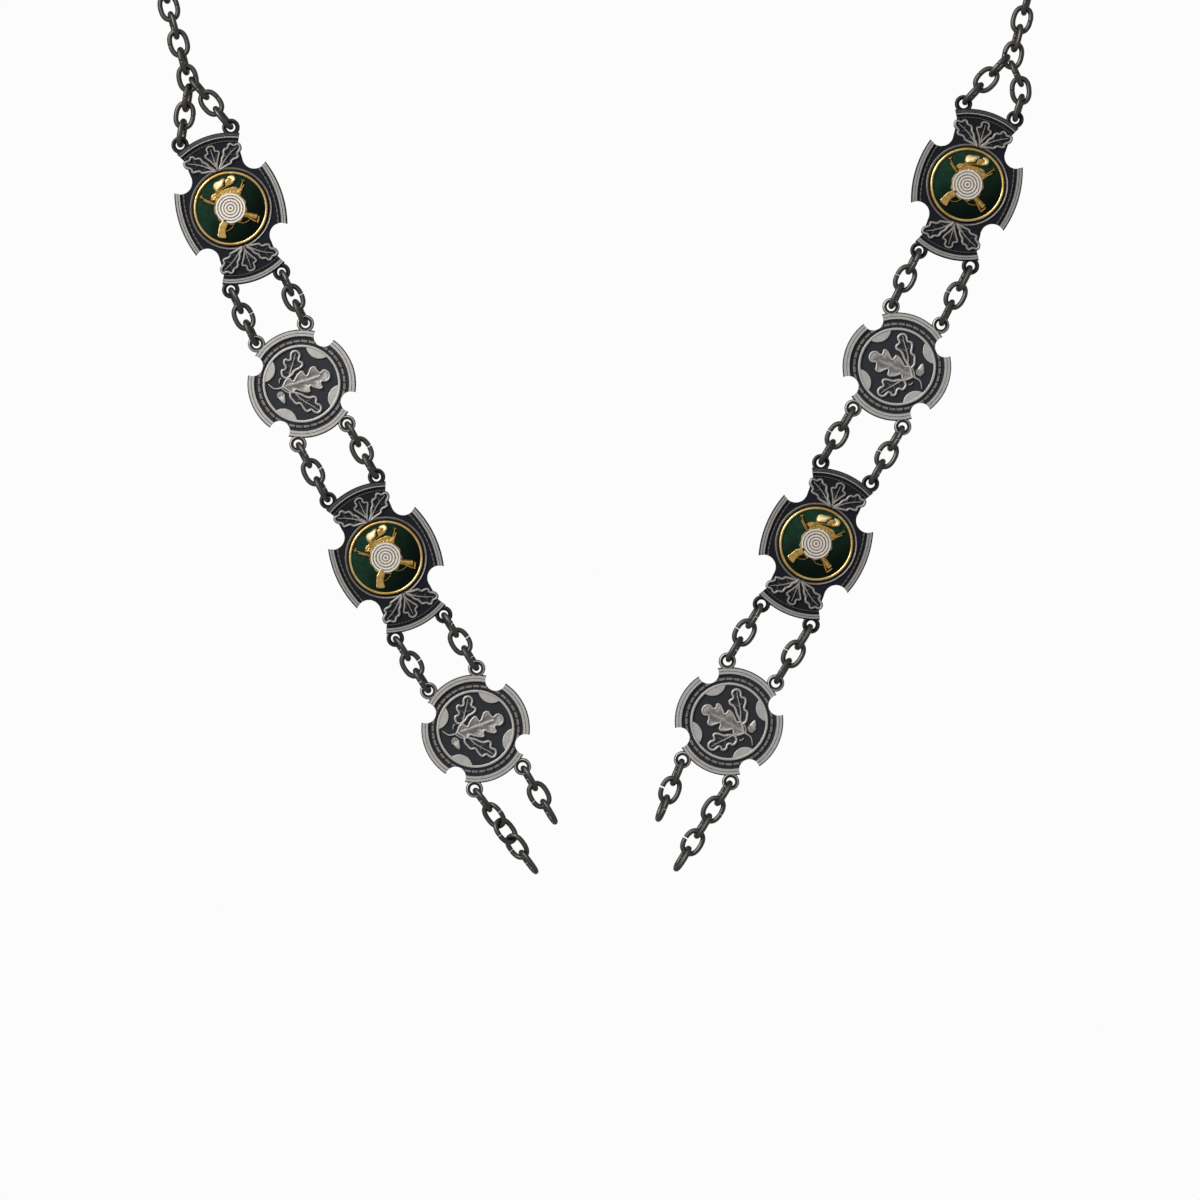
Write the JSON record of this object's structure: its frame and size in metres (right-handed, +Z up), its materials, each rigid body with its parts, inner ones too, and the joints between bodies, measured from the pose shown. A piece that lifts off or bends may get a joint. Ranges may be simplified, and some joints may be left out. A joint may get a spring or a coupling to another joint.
{
  "type": "shooting guild chain",
  "caption": "Ceremonial guild chain: cross and round cast plates on paired link chains, with enamel emblems, worn round the neck and hanging open in front.",
  "frame": {"origin": "middle of the neck ring, where the chain hangs", "axes": "+Z up, +X to the viewer's right, -Y towards the viewer, out of the castings' faces"},
  "size_m": [0.3293, 0.008, 0.4926],
  "materials": {
    "steel_chain": "blackened",
    "silver_casting": "cast, silvered and darkened in the recesses",
    "gilt_trim": "polished gilt",
    "green_enamel": "glossy translucent enamel"
  },
  "bodies": {
    "root": {"neck_ring": "steel_chain", "neck_chain_left": "steel_chain", "upper_chain_left": "steel_chain", "gap_chain_left_1_outer": "steel_chain", "gap_chain_left_1_inner": "steel_chain", "gap_chain_left_2_outer": "steel_chain", "gap_chain_left_2_inner": "steel_chain", "gap_chain_left_3_outer": "steel_chain", "gap_chain_left_3_inner": "steel_chain", "lower_chain_left_outer": "steel_chain", "lower_chain_left_inner": "steel_chain", "neck_chain_right": "steel_chain", "upper_chain_right": "steel_chain", "gap_chain_right_1_outer": "steel_chain", "gap_chain_right_1_inner": "steel_chain", "gap_chain_right_2_outer": "steel_chain", "gap_chain_right_2_inner": "steel_chain", "gap_chain_right_3_outer": "steel_chain", "gap_chain_right_3_inner": "steel_chain", "lower_chain_right_outer": "steel_chain", "lower_chain_right_inner": "steel_chain", "cross_plate_left_1": "silver_casting", "round_plate_left_1": "silver_casting", "bezel_left_1": "gilt_trim", "enamel_left_1": "green_enamel", "emblem_relief_left_1": "gilt_trim", "cross_plate_left_2": "silver_casting", "round_plate_left_2": "silver_casting", "bezel_left_2": "gilt_trim", "enamel_left_2": "green_enamel", "emblem_relief_left_2": "gilt_trim", "cross_plate_right_1": "silver_casting", "round_plate_right_1": "silver_casting", "bezel_right_1": "gilt_trim", "enamel_right_1": "green_enamel", "emblem_relief_right_1": "gilt_trim", "cross_plate_right_2": "silver_casting", "round_plate_right_2": "silver_casting", "bezel_right_2": "gilt_trim", "enamel_right_2": "green_enamel", "emblem_relief_right_2": "gilt_trim"}
  },
  "joints": []
}
